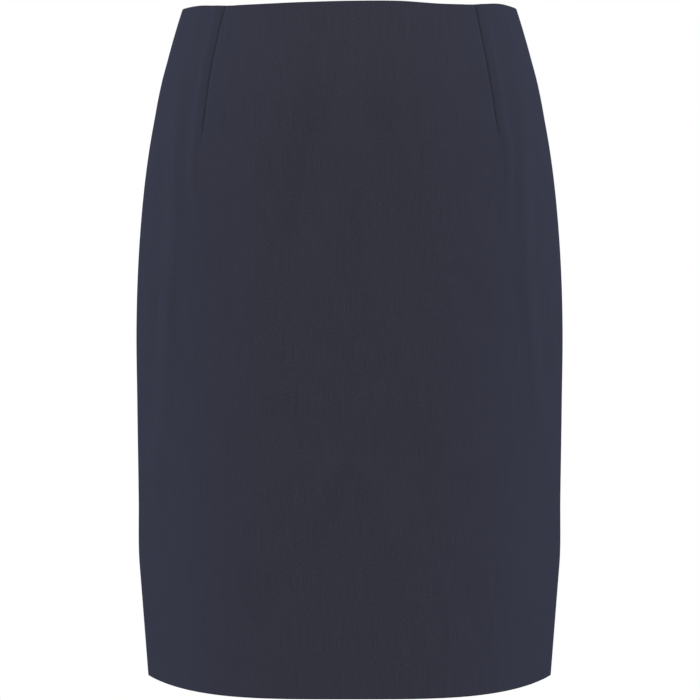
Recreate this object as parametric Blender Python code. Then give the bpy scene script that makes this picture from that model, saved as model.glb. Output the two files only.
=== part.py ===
"""A knee-length pencil skirt in suiting, hollow and filled out as it hangs on a general figure.

A flat front, cut on the fold and shaped by two darts, joins two backs at pressed side seams. The backs
have a dart each and meet at a centre-back seam, with a concealed zip at its top and a lapped walking
vent at its foot. Waist edge and hem are turned in, with no waistband.

Metres, +Z up. The front faces -Y, and the wearer's left side is at +X. The origin is in the middle of
the waist opening, level with the waist edge at the centre front. Tables are in millimetres.
"""

import math
from bisect import bisect_right
from collections import namedtuple
from functools import lru_cache

import bmesh
import bpy
import numpy as np
from mathutils import Matrix, Vector

MM = 0.001

# ---- Driving sizes, in millimetres ----
LENGTH = 572.0  # waist edge at the centre front down to the hem
WALL = 1.2  # the cloth
SEAM_GAP = 0.3  # between pieces sewn together
BACK_DIP = -2.0  # waist edge at the centre back
RISE_FADE = 200.0  # depth by which the rows are level

HEM_DEPTH = 36.0  # cloth turned up inside
HEM_LAYER = 1.0
HEM_RAMP = 2.0  # from the doubled hem down to the single wall
WAIST_TURN = 10.0  # cloth turned in at the waist edge
WAIST_RAMP = 6.0
ALLOWANCE = 15.0  # seam allowances, pressed open inside
ALLOWANCE_LAYER = 0.8
LAYER_RAMP = 1.5  # from a doubled stretch down to the single wall

DART_GROOVE = 0.9  # the stitched line's depth
DART_LIP = 2.0  # from the line to the groove's edges
DART_RIDGE = 0.5  # the cloth stands up beside the line, towards the side seam
DART_RIDGE_AT = 7.0
DART_LAYER = 1.6  # the dart's cloth, folded towards the centre inside
DART_FADE = 14.0  # the groove dies out over this much of the dart's foot
LEAST_FOLD = 5.0  # narrowest spacing of the columns that follow the fold

ZIP_FOOT = 200.0  # lower end of the zip's tapes
TAPE_HEAD = 4.0
TAPE_WIDTH = 13.0
TAPE_WALL = 0.7
COIL_WIDTH = 2.4
COIL_LAYER = 1.2
COIL_RAMP = 0.8
NECK_GAP = 2.4  # between the backs' edges, down to the slider's foot
TAPE_NECK_GAP = 8.4  # between the tapes there, beside the slider's body
NECK_FOOT = 16.0
NECK_RAMP = 8.0  # the edges come together over this depth

VENT_TOP = 392.0
VENT_FULL = 404.0  # the underlap's top edge
UNDERLAP = 40.0  # cut in one with the right back
FACING = 28.0  # cut in one with the left back and turned in
FACING_LAYER = 0.9
LAP_GAP = 0.5  # between the left back's facing and the underlap
LAP_SLOPE = 14.0  # the right back sinks under the left over this width
UNDERLAP_COLUMNS = (-UNDERLAP, -FACING, -ALLOWANCE, -ALLOWANCE / 2)

# The zip's slider, in its own frame: across the zip, down along it, and out from the cloth
SLIDER_BELOW = 11.0  # its middle, below the waist edge at the centre front
SLIDER_LENGTH = 9.0
SLIDER_HEAD_WIDTH = 7.2
SLIDER_FOOT_WIDTH = 5.4
SLIDER_FROM = -5.4
SLIDER_TO = -2.5
SLIDER_BEVEL = 0.35
BRIDGE_THICK = 1.5
BRIDGE_LENGTH = 6.8
BRIDGE_OUT = 3.1
BRIDGE_CORNER = 1.3
BRIDGE_ROOT = 0.8  # the bridge reaches this far into the body
EYE_LENGTH = 4.4
EYE_FROM = 0.35
EYE_TO = 2.45
EYE_CORNER = 0.5

# The zip's pull tab, from its crossbar's axis
PULL_AXIS_DOWN = 1.2  # from the slider's middle, down along the cloth
PULL_AXIS_OUT = 1.35
PULL_LENGTH = 24.0
PULL_THICK = 1.0
PULL_HEAD_WIDTH = 5.6
PULL_FOOT_WIDTH = 6.8
PULL_CORNER = 1.2
WINDOW_WIDTH = 3.0
WINDOW_LENGTH = 5.8
WINDOW_CORNER = 0.6

# Half the width between the side seams, by depth
Width = namedtuple("Width", "below half")
WIDTHS = (
    Width(-10, 145.0),
    Width(0, 148.2),
    Width(17, 153.3),
    Width(34, 158.2),
    Width(52, 163.1),
    Width(70, 167.0),
    Width(87, 170.1),
    Width(104, 173.2),
    Width(139, 178.3),
    Width(178, 182.2),
    Width(222, 185.0),
    Width(266, 186.2),
    Width(332, 185.6),
    Width(419, 184.4),
    Width(471, 183.9),
    Width(489, 182.5),
    Width(572, 176.1),
)

# Where each section passes the middle of the front and back and the side seams, and its form: flat
# above 2 squares the middle, and round below 2 brings the side to a soft point
Depth = namedtuple("Depth", "below front back side front_flat front_round back_flat back_round")
DEPTHS = (
    Depth(-10, -95.0, 95.6, 3.0, 2.35, 2.00, 2.20, 2.00),
    Depth(0, -97.0, 98.0, 3.0, 2.35, 2.00, 2.20, 2.00),
    Depth(50, -106.0, 109.0, 3.5, 2.40, 1.90, 2.25, 2.00),
    Depth(100, -111.0, 119.6, 4.0, 2.45, 1.80, 2.30, 1.95),
    Depth(150, -112.5, 126.6, 4.5, 2.50, 1.70, 2.35, 1.90),
    Depth(210, -112.6, 129.8, 5.0, 2.60, 1.60, 2.35, 1.85),
    Depth(290, -112.4, 128.0, 5.5, 2.75, 1.45, 2.40, 1.75),
    Depth(380, -112.2, 124.0, 6.0, 3.00, 1.30, 2.50, 1.60),
    Depth(471, -112.0, 120.5, 6.5, 3.30, 1.20, 2.70, 1.45),
    Depth(572, -112.0, 118.0, 7.0, 3.60, 1.05, 2.90, 1.35),
)

# The front waist edge above its height at the centre, by the share of the way to the side seam
WaistEdge = namedtuple("WaistEdge", "share right left")
WAIST_EDGE = (
    WaistEdge(0.00, 0.0, 0.0),
    WaistEdge(0.20, -0.7, 0.4),
    WaistEdge(0.40, -0.8, -0.4),
    WaistEdge(0.55, 0.4, 1.5),
    WaistEdge(0.70, 3.9, 5.6),
    WaistEdge(0.85, 6.2, 7.0),
    WaistEdge(1.00, 9.5, 9.9),
)

# The rows of a panel: so many equal steps down to each depth
Band = namedtuple("Band", "below steps")
BANDS = (
    Band(4, 1),
    Band(22, 3),
    Band(102, 5),
    Band(200, 5),
    Band(VENT_TOP, 8),
    Band(VENT_FULL, 1),
    Band(LENGTH - HEM_DEPTH - HEM_RAMP, 6),
    Band(LENGTH - HEM_DEPTH, 1),
    Band(LENGTH, 2),
)

# Darts, by distance from the centre plane. bow moves the middle of the line outwards, and fold is the
# width of the folded cloth at the waist
Dart = namedtuple("Dart", "panel side waist tip bow length fold")
DARTS = (
    Dart("front", -1, 103.4, 122.1, 3.1, 118.0, 10.0),
    Dart("front", 1, 104.8, 124.7, 1.0, 118.0, 10.0),
    Dart("back", -1, 80.0, 90.0, 0.5, 128.0, 12.0),
    Dart("back", 1, 80.0, 90.0, 0.5, 128.0, 12.0),
)

# Soft ridges in the cloth below the darts, by distance from the centre plane and depth
Fold = namedtuple("Fold", "panel side top_across top_below foot_across foot_below spread rise")
FOLDS = (
    Fold("front", -1, 121, 96, 137, 176, 9, 1.0),
    Fold("front", 1, 125, 96, 138, 182, 9, 1.0),
    Fold("back", -1, 90, 116, 98, 190, 11, 0.9),
    Fold("back", 1, 90, 116, 100, 200, 11, 1.0),
)

SUITING = ("suiting", (0.030, 0.030, 0.042), 0.9, 0.0)
TAPE = ("zip_tape", (0.026, 0.027, 0.038), 0.85, 0.0)
METAL = ("zip_metal", (0.035, 0.036, 0.050), 0.4, 0.6)


def smooth(rows, column, at):
    """A column's value where the table's first column has a value, on a smooth curve through its rows."""
    places = [row[0] for row in rows]
    values = [getattr(row, column) for row in rows]
    slopes = np.gradient(values, places)
    at = min(max(at, places[0]), places[-1])
    k = min(bisect_right(places, at), len(places) - 1) - 1
    step = places[k + 1] - places[k]
    t = (at - places[k]) / step
    start = (1 + 2 * t) * values[k] + t * step * slopes[k]
    end = (3 - 2 * t) * values[k + 1] + (t - 1) * step * slopes[k + 1]
    return (1 - t) ** 2 * start + t**2 * end


def ease(t):
    """0 to 1 with level ends."""
    t = min(max(t, 0.0), 1.0)
    return t * t * (3 - 2 * t)


def within(value, limit, ramp):
    """1 up to a limit, then down to 0 over a ramp."""
    return min(max((limit + ramp - value) / ramp, 0.0), 1.0)


# ---- Sections ----


@lru_cache(maxsize=None)
def section(panel, below):
    """A quarter of the section at a depth: x, y and length along it, from the middle to the side."""
    half = smooth(WIDTHS, "half", below)
    side = smooth(DEPTHS, "side", below)
    middle = smooth(DEPTHS, panel, below)
    flat = smooth(DEPTHS, panel + "_flat", below)
    roundness = smooth(DEPTHS, panel + "_round", below)
    turn = np.linspace(0, math.pi / 2, 361)
    x = half * np.sin(turn) ** (2 / flat)
    y = side + (middle - side) * np.cos(turn).clip(0) ** (2 / roundness)
    along = np.concatenate([[0], np.cumsum(np.hypot(np.diff(x), np.diff(y)))])
    return x, y, along


def quarter(panel, below):
    """The section's length from the middle to the side seam."""
    return section(panel, below)[2][-1]


def along_at(panel, below, across):
    """The length along the section to a distance from the centre plane."""
    x, _, along = section(panel, below)
    return float(np.interp(across, x, along))


@lru_cache(maxsize=None)
def rise(panel, side, share):
    """How far the waist edge lies above the origin, by the share of the way from the middle to the side."""
    column = "left" if side > 0 else "right"
    if panel == "front":
        return smooth(WAIST_EDGE, column, share)
    return BACK_DIP + (getattr(WAIST_EDGE[-1], column) - BACK_DIP) * share**2.5


def place(panel, side, along, below):
    """A point of the outer face and its level outward direction. A negative length is on the other side.

    The rows near the waist follow its edge, so the point lies a little above its row's depth.
    """
    if along < 0:
        side, along = -side, -along
    share = along / quarter(panel, below)
    height = rise(panel, side, share) * max(1 - below / RISE_FADE, 0) ** 2 - below
    x, y, lengths = section(panel, -height)
    along = share * lengths[-1]
    back, ahead = max(along - 1.0, 0.0), min(along + 1.0, lengths[-1])
    dx, dy = (float(np.interp(ahead, lengths, v) - np.interp(back, lengths, v)) for v in (x, y))
    facing = -1 if panel == "front" else 1
    outward = Vector((-facing * dy, facing * dx, 0)).normalized()
    if along < 0.5:
        outward = Vector((0, facing, 0))
    here_x, here_y = (float(np.interp(along, lengths, v)) for v in (x, y))
    return Vector((side * here_x, here_y, height)), Vector((side * outward.x, outward.y, 0))


# ---- Darts, folds and the layers inside ----


def dart_of(panel, side):
    return next(d for d in DARTS if (d.panel, d.side) == (panel, side))


def dart_across(dart, below):
    """The dart line's distance from the centre plane. Below the tip it runs on towards the hem."""
    t = min(max(below, 0) / dart.length, 1.0)
    across = dart.waist + (dart.tip - dart.waist) * t + 4 * dart.bow * t * (1 - t)
    return across + 0.02 * max(below - dart.length, 0)


def dart_along(panel, side, below):
    return along_at(panel, below, dart_across(dart_of(panel, side), below))


def fold_width(dart, below):
    """The folded cloth's width inside, which ends at the tip; its columns keep a least spacing."""
    return max(dart.fold * (1 - max(below, 0) / dart.length), LEAST_FOLD)


def dart_strength(dart, below):
    return ease((dart.length - below) / DART_FADE)


def groove(panel, side, along, below):
    """How far the dart's stitched line and its ridge move the outer face outwards."""
    dart = dart_of(panel, side)
    from_line = along - dart_along(panel, side, below)
    line = DART_GROOVE * max(1 - abs(from_line) / DART_LIP, 0)
    ridge = DART_RIDGE * max(1 - abs(from_line - DART_RIDGE_AT) / DART_RIDGE_AT, 0)
    return (ridge - line) * dart_strength(dart, below)


def soft_folds(panel, side, point, below):
    """How far the soft ridges move the whole wall outwards."""
    total = 0.0
    for fold in FOLDS:
        if (fold.panel, fold.side) != (panel, side):
            continue
        top = Vector((fold.top_across, fold.top_below))
        run = Vector((fold.foot_across, fold.foot_below)) - top
        from_top = Vector((abs(point.x), below)) - top
        t = from_top.dot(run) / run.length_squared
        aside = (from_top - run * t).length
        total += fold.rise * math.exp(-((aside / fold.spread) ** 2)) * ease(t * 4) * ease((1 - t) * 1.6)
    return total


def allowance(from_seam):
    return ALLOWANCE_LAYER * within(from_seam, ALLOWANCE, LAYER_RAMP)


def hem_layer(below):
    return HEM_LAYER * within(LENGTH - below, HEM_DEPTH, HEM_RAMP)


def thickness(panel, side, along, below):
    """The wall, with what is turned in, pressed open or folded inside it."""
    edge = quarter(panel, below)
    layers = [
        hem_layer(below),
        ALLOWANCE_LAYER * within(below, WAIST_TURN, WAIST_RAMP),
        allowance(edge - along),
    ]
    if panel == "back" and below <= VENT_TOP:
        layers.append(allowance(along))
    if panel == "back" and side > 0 and below > VENT_TOP:
        layers.append(FACING_LAYER * within(along, FACING, LAYER_RAMP))
    dart = dart_of(panel, side)
    line = dart_along(panel, side, below)
    folded = within(line - along, fold_width(dart, below), LAYER_RAMP) if along <= line else 0.0
    return WALL + max(layers) + DART_LAYER * folded * dart_strength(dart, below)


def sink(along, below):
    """How far the right back lies inside the left at the vent, by its signed length from the centre."""
    deep = WALL + FACING_LAYER + LAP_GAP
    return deep * ease(1 - max(along, 0) / LAP_SLOPE) * ease((below - VENT_TOP) / (VENT_FULL - VENT_TOP))


# ---- Rows and columns ----


def row_depths():
    depths = [0.0]
    for band in BANDS:
        start = depths[-1]
        depths += [start + (band.below - start) * (k + 1) / band.steps for k in range(band.steps)]
    return depths


def even(start, end, steps):
    """Evenly spaced lengths after the start, up to the end."""
    return [start + (end - start) * (k + 1) / steps for k in range(steps)]


def dart_columns(panel, side, below):
    """Lengths of the columns on the dart, from the inner edge of its fold to past its ridge."""
    dart = dart_of(panel, side)
    line = dart_along(panel, side, below)
    fold = line - fold_width(dart, below)
    past = (-DART_LIP, 0, DART_LIP, DART_RIDGE_AT, 2 * DART_RIDGE_AT)
    return [fold - LAYER_RAMP, fold] + [line + step for step in past]


def side_columns(panel, below, start, steps):
    """Lengths of the columns from past the dart to the side seam."""
    end = quarter(panel, below)
    inner = end - ALLOWANCE - LAYER_RAMP
    return even(start, inner, steps) + [inner + LAYER_RAMP, end - ALLOWANCE / 2, end - SEAM_GAP / 2]


def front_columns(side, below):
    dart = dart_columns("front", side, below)
    return [0.0] + even(0, dart[0], 6) + dart[1:] + side_columns("front", below, dart[-1], 4)


def parted_edge(gap, below):
    """Half the gap between two edges that the slider holds apart above its foot."""
    return (SEAM_GAP + (gap - SEAM_GAP) * within(below, NECK_FOOT, NECK_RAMP)) / 2


def back_columns(side, below):
    dart = dart_columns("back", side, below)
    near = [parted_edge(NECK_GAP, below), ALLOWANCE / 4, ALLOWANCE / 2, ALLOWANCE, ALLOWANCE + LAYER_RAMP]
    near += [FACING, FACING + LAYER_RAMP, UNDERLAP]
    return near + even(near[-1], dart[0], 2) + dart[1:] + side_columns("back", below, dart[-1], 4)


def wall_points(panel, side, along, below):
    """The outer and inner points of a panel at a length along the section and a depth."""
    point, outward = place(panel, side, along, below)
    thick = thickness(panel, side, along, below)
    lapped = sink(along, below) if panel == "back" and side < 0 else 0.0
    if along < 0:
        thick = WALL + hem_layer(below)
    soft = soft_folds(panel, side, point, below) - lapped
    outer = point + outward * (soft + groove(panel, side, along, below))
    inner = point + outward * (soft - thick)
    if quarter(panel, below) - along < SEAM_GAP:
        inner = outer - Vector((side * thick / abs(outward.x), 0, 0))
    return outer * MM, inner * MM


# ---- Meshes ----


def closed_wall(name, outer, inner, keep):
    """A closed body between two grids of points. keep marks the cells that hold cloth."""
    mesh = bmesh.new()
    made = {}

    def corner(grid, i, j):
        key = (grid is inner, i, j)
        if key not in made:
            made[key] = mesh.verts.new(grid[i][j])
        return made[key]

    def held(i, j):
        return 0 <= i < keep.shape[0] and 0 <= j < keep.shape[1] and keep[i, j]

    for i, j in np.argwhere(keep):
        ring = ((i, j), (i + 1, j), (i + 1, j + 1), (i, j + 1))
        beyond = ((i, j - 1), (i + 1, j), (i, j + 1), (i - 1, j))
        mesh.faces.new([corner(outer, *at) for at in ring])
        mesh.faces.new([corner(inner, *at) for at in reversed(ring)])
        for k, cell in enumerate(beyond):
            if not held(*cell):
                start, end = ring[k], ring[(k + 1) % 4]
                rim = [corner(outer, *at) for at in (end, start)]
                mesh.faces.new(rim + [corner(inner, *at) for at in (start, end)])
    bmesh.ops.recalc_face_normals(mesh, faces=mesh.faces)
    return finish(name, mesh)


def finish(name, mesh, sharp=35):
    data = bpy.data.meshes.new(name)
    mesh.to_mesh(data)
    mesh.free()
    data.shade_smooth()
    data.set_sharp_from_angle(angle=math.radians(sharp))
    thing = bpy.data.objects.new(name, data)
    bpy.context.collection.objects.link(thing)
    return thing


def rounded_outline(low, high, corner, steps=4):
    """Points round a rectangle with round corners, from its first low corner."""
    corner = min(corner, (high[0] - low[0]) / 2, (high[1] - low[1]) / 2)
    centres = (
        (low[0] + corner, low[1] + corner),
        (high[0] - corner, low[1] + corner),
        (high[0] - corner, high[1] - corner),
        (low[0] + corner, high[1] - corner),
    )
    points = []
    for k, (a, b) in enumerate(centres):
        for step in range(steps + 1):
            turn = math.pi + (k + step / steps) * math.pi / 2
            points.append((a + corner * math.cos(turn), b + corner * math.sin(turn)))
    return points


def ring_plate(name, outline, window, low, high, lay):
    """A plate with a window. lay places a point from its two places in the plate and its thickness."""
    mesh = bmesh.new()
    loops = []
    for points in (outline, window):
        for level in (low, high):
            loops.append([mesh.verts.new(lay(a, b, level) * MM) for a, b in points])
    outer_low, outer_high, window_low, window_high = loops
    count = len(outline)
    for a, b in (
        (outer_low, outer_high),
        (outer_high, window_high),
        (window_high, window_low),
        (window_low, outer_low),
    ):
        for k in range(count):
            n = (k + 1) % count
            mesh.faces.new((a[k], a[n], b[n], b[k]))
    bmesh.ops.recalc_face_normals(mesh, faces=mesh.faces)
    return finish(name, mesh)


def material(spec):
    name, color, roughness, metallic = spec
    made = bpy.data.materials.get(name) or bpy.data.materials.new(name)
    made.use_nodes = True
    shader = made.node_tree.nodes["Principled BSDF"]
    shader.inputs["Base Color"].default_value = (*color, 1)
    shader.inputs["Roughness"].default_value = roughness
    shader.inputs["Metallic"].default_value = metallic
    return made


# ---- Pieces ----


def panel_grids(panel, columns_at):
    """The outer and inner grids of a panel, from its columns in each row as (side, length along)."""
    outer, inner = [], []
    for below in row_depths():
        pairs = [wall_points(panel, side, along, below) for side, along in columns_at(below)]
        outer.append([pair[0] for pair in pairs])
        inner.append([pair[1] for pair in pairs])
    return outer, inner


def whole(grid):
    return np.ones((len(grid) - 1, len(grid[0]) - 1), bool)


def front_panel():
    def columns_at(below):
        right = [(-1, along) for along in reversed(front_columns(-1, below)[1:])]
        return right + [(1, along) for along in front_columns(1, below)]

    outer, inner = panel_grids("front", columns_at)
    return closed_wall("front_panel", outer, inner, whole(outer))


def back_left():
    outer, inner = panel_grids("back", lambda below: [(1, along) for along in back_columns(1, below)])
    return closed_wall("back_left", outer, inner, whole(outer))


def back_right():
    """The right back, with the vent's underlap reaching past the centre line."""

    def columns_at(below):
        return [(-1, along) for along in (*UNDERLAP_COLUMNS, *back_columns(-1, below))]

    outer, inner = panel_grids("back", columns_at)
    keep = whole(outer)
    for i, below in enumerate(row_depths()[:-1]):
        if below < VENT_FULL:
            keep[i, : len(UNDERLAP_COLUMNS)] = False
    return closed_wall("back_right", outer, inner, keep)


def zip_tape(name, side):
    """One of the zip's tapes, on the allowances inside, with the coil's edge raised."""
    under = WALL + ALLOWANCE_LAYER + SEAM_GAP
    depths = [TAPE_HEAD] + [below for below in row_depths() if TAPE_HEAD < below <= ZIP_FOOT]
    outer, inner = [], []
    for below in depths:
        edge = parted_edge(TAPE_NECK_GAP, below)
        across = (edge, edge + COIL_WIDTH, edge + COIL_WIDTH + COIL_RAMP, edge + TAPE_WIDTH)
        raised = (COIL_LAYER, COIL_LAYER, 0, 0)
        outer_row, inner_row = [], []
        for along, coil in zip(across, raised):
            point, outward = place("back", side, along, below)
            outer_row.append((point - outward * under) * MM)
            inner_row.append((point - outward * (under + TAPE_WALL + coil)) * MM)
        outer.append(outer_row)
        inner.append(inner_row)
    return closed_wall(name, outer, inner, whole(outer))


def zip_frame():
    """Where the slider sits: across the zip, down along the cloth, out from it."""
    origin, _ = place("back", 1, 0, SLIDER_BELOW)
    lower, _ = place("back", 1, 0, SLIDER_BELOW + SLIDER_LENGTH)
    across = Vector((1, 0, 0))
    down = (lower - origin).normalized()
    return origin, across, down, across.cross(down)


def zip_slider():
    """The slider's body inside, with a neck through the seam and a bridge for the tab outside."""
    origin, across, down, out = zip_frame()
    mesh = bmesh.new()
    ends = ((-SLIDER_LENGTH / 2, SLIDER_HEAD_WIDTH / 2), (SLIDER_LENGTH / 2, SLIDER_FOOT_WIDTH / 2))
    corners = []
    for along, half in ends:
        for level in (SLIDER_FROM, SLIDER_TO):
            for side in (-1, 1):
                corner = origin + across * side * half + down * along + out * level
                corners.append(mesh.verts.new(corner * MM))
    bmesh.ops.convex_hull(mesh, input=corners)
    bmesh.ops.dissolve_limit(mesh, angle_limit=0.01, verts=mesh.verts, edges=mesh.edges)
    bmesh.ops.bevel(mesh, geom=mesh.edges[:], offset=SLIDER_BEVEL * MM, segments=1, affect="EDGES")
    bmesh.ops.recalc_face_normals(mesh, faces=mesh.faces)
    slider = finish("zip_slider", mesh)

    def lay(along, level, side):
        return origin + across * side + down * along + out * level

    half = BRIDGE_LENGTH / 2
    outline = rounded_outline((-half, SLIDER_TO - BRIDGE_ROOT), (half, BRIDGE_OUT), BRIDGE_CORNER)
    eye = rounded_outline((-EYE_LENGTH / 2, EYE_FROM), (EYE_LENGTH / 2, EYE_TO), EYE_CORNER)
    bridge = ring_plate("zip_bridge", outline, eye, -BRIDGE_THICK / 2, BRIDGE_THICK / 2, lay)
    bridge.hide_render = True
    bridge.display_type = "WIRE"
    joined = slider.modifiers.new("bridge", "BOOLEAN")
    joined.operation = "UNION"
    joined.object = bridge
    return slider


def pull_outline():
    """The tab's outline, a little wider towards its foot."""
    half = PULL_THICK / 2
    low, high = (-half, -PULL_FOOT_WIDTH / 2), (PULL_LENGTH - half, PULL_FOOT_WIDTH / 2)
    points = rounded_outline(low, high, PULL_CORNER)
    taper = PULL_HEAD_WIDTH / PULL_FOOT_WIDTH
    return [(a, b * (taper + (1 - taper) * ease(a / PULL_LENGTH))) for a, b in points]


def zip_pull():
    """The pull tab, lying down along the cloth, with its origin on the crossbar's axis."""
    origin, across, down, out = zip_frame()
    axis = (origin + down * PULL_AXIS_DOWN + out * PULL_AXIS_OUT) * MM
    window = rounded_outline(
        (PULL_THICK / 2, -WINDOW_WIDTH / 2), (WINDOW_LENGTH, WINDOW_WIDTH / 2), WINDOW_CORNER
    )

    def lay(along, side, level):
        return across * side + down * along + out * level

    pull = ring_plate("zip_pull", pull_outline(), window, -PULL_THICK / 2, PULL_THICK / 2, lay)
    pull.location = axis
    return pull


def main():
    for thing in list(bpy.data.objects):
        bpy.data.objects.remove(thing, do_unlink=True)
    cloth = [front_panel(), back_left(), back_right()]
    tapes = [zip_tape("zip_tape_left", 1), zip_tape("zip_tape_right", -1)]
    metal = [zip_slider(), zip_pull()]
    for things, spec in ((cloth, SUITING), (tapes, TAPE), (metal, METAL)):
        for thing in things:
            thing.data.materials.append(material(spec))


main()
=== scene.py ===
"""The looks of a knee-length pencil skirt in dark navy suiting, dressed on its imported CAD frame.

The cloth is one fine shell for each panel, on the same sections as its solid, with its darts, creases,
turned edges and allowances in the mesh. The zip, its coil, slider and tab, and the threads that hold the
skirt together inside are pieces of their own.

The frame is in metres, +Z up, with the front at -Y. Tables and sizes below are in millimetres, and MM
turns them into the frame's metres. "below" is the depth under the waist edge at the centre front, and
"along" is the length along a level section from the centre plane towards a side seam.
"""

import math
from collections import namedtuple
from functools import lru_cache, partial

import bpy
import numpy as np
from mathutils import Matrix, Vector

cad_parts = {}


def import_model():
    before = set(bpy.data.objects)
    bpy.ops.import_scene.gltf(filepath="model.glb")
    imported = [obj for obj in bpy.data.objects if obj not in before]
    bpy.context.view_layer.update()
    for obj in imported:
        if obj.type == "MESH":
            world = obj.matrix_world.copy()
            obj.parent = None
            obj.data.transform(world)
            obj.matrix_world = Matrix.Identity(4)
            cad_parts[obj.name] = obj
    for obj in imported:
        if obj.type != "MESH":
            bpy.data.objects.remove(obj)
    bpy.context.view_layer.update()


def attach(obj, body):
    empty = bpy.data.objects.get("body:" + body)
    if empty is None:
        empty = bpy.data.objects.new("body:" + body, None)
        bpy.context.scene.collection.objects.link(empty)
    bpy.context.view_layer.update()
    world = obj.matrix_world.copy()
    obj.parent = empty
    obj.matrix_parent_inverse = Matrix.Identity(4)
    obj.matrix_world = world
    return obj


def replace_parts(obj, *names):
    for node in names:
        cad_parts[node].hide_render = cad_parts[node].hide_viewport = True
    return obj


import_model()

MM = 0.001


def table(columns, *rows):
    """Rows of a short table, whose columns go by their names."""
    row = namedtuple("Row", columns)
    return [row(*values) for values in rows]


# ---- Sizes of the garment, in millimetres, the same as the solids' ----
LENGTH = 572.0
WALL = 1.2
SEAM_GAP = 0.3
BACK_DIP = -2.0  # the height of the waist edge at the centre back
BACK_RISE_POWER = 2.5
RISE_FADE = 200.0
HEM_DEPTH = 36.0
HEM_EDGE = LENGTH - HEM_DEPTH
HEM_LAYER = 1.0
WAIST_TURN = 10.0
ALLOWANCE = 15.0
ALLOWANCE_LAYER = 0.8
DART_LAYER = 1.6
DART_FADE = 14.0
LEAST_FOLD = 3.0
ZIP_FOOT = 200.0
TAPE_HEAD = 4.0
TAPE_WIDTH = 13.0
TAPE_WALL = 0.7
COIL_WIDTH = 2.4
COIL_LAYER = 1.2
NECK_GAP = 2.4
TAPE_NECK_GAP = 8.4
NECK_FOOT = 16.0
NECK_RAMP = 8.0
VENT_TOP = 392.0
VENT_FULL = 404.0
UNDERLAP = 40.0
FACING = 28.0
FACING_LAYER = 0.9
LAP_GAP = 0.5
LAP_SLOPE = 14.0

# Half the width between the side seams
WIDTHS = table(
    "below half",
    (-10, 145.0),
    (0, 148.2),
    (17, 153.3),
    (34, 158.2),
    (52, 163.1),
    (70, 167.0),
    (87, 170.1),
    (104, 173.2),
    (139, 178.3),
    (178, 182.2),
    (222, 185.0),
    (266, 186.2),
    (332, 185.6),
    (419, 184.4),
    (471, 183.9),
    (489, 182.5),
    (572, 176.1),
)

# Where each section passes the middle of the front and back and the side seams, and its form: flat
# above 2 squares the middle, and round below 2 brings the side to a soft point
DEPTHS = table(
    "below front back side front_flat front_round back_flat back_round",
    (-10, -95.0, 95.6, 3.0, 2.35, 2.00, 2.20, 2.00),
    (0, -97.0, 98.0, 3.0, 2.35, 2.00, 2.20, 2.00),
    (50, -106.0, 109.0, 3.5, 2.40, 1.90, 2.25, 2.00),
    (100, -111.0, 119.6, 4.0, 2.45, 1.80, 2.30, 1.95),
    (150, -112.5, 126.6, 4.5, 2.50, 1.70, 2.35, 1.90),
    (210, -112.6, 129.8, 5.0, 2.60, 1.60, 2.35, 1.85),
    (290, -112.4, 128.0, 5.5, 2.75, 1.45, 2.40, 1.75),
    (380, -112.2, 124.0, 6.0, 3.00, 1.30, 2.50, 1.60),
    (471, -112.0, 120.5, 6.5, 3.30, 1.20, 2.70, 1.45),
    (572, -112.0, 118.0, 7.0, 3.60, 1.05, 2.90, 1.35),
)

# The front waist edge above its height at the centre, by the share of the way to the side seam
WAIST_EDGE = table(
    "share right left",
    (0.00, 0.0, 0.0),
    (0.20, -0.7, 0.4),
    (0.40, -0.8, -0.4),
    (0.55, 0.4, 1.5),
    (0.70, 3.9, 5.6),
    (0.85, 6.2, 7.0),
    (1.00, 9.5, 9.9),
)

# Darts, by distance from the centre plane. bow moves the middle of the line outwards, fold is the width
# of the folded cloth at the waist, and intake is the cloth that it takes up there
DARTS = table(
    "panel side waist tip bow length fold intake",
    ("front", -1, 103.4, 122.1, 3.1, 118.0, 10.0, 20.0),
    ("front", 1, 104.8, 124.7, 1.0, 118.0, 10.0, 20.0),
    ("back", -1, 80.0, 90.0, 0.5, 128.0, 12.0, 24.0),
    ("back", 1, 80.0, 90.0, 0.5, 128.0, 12.0, 24.0),
)

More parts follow.
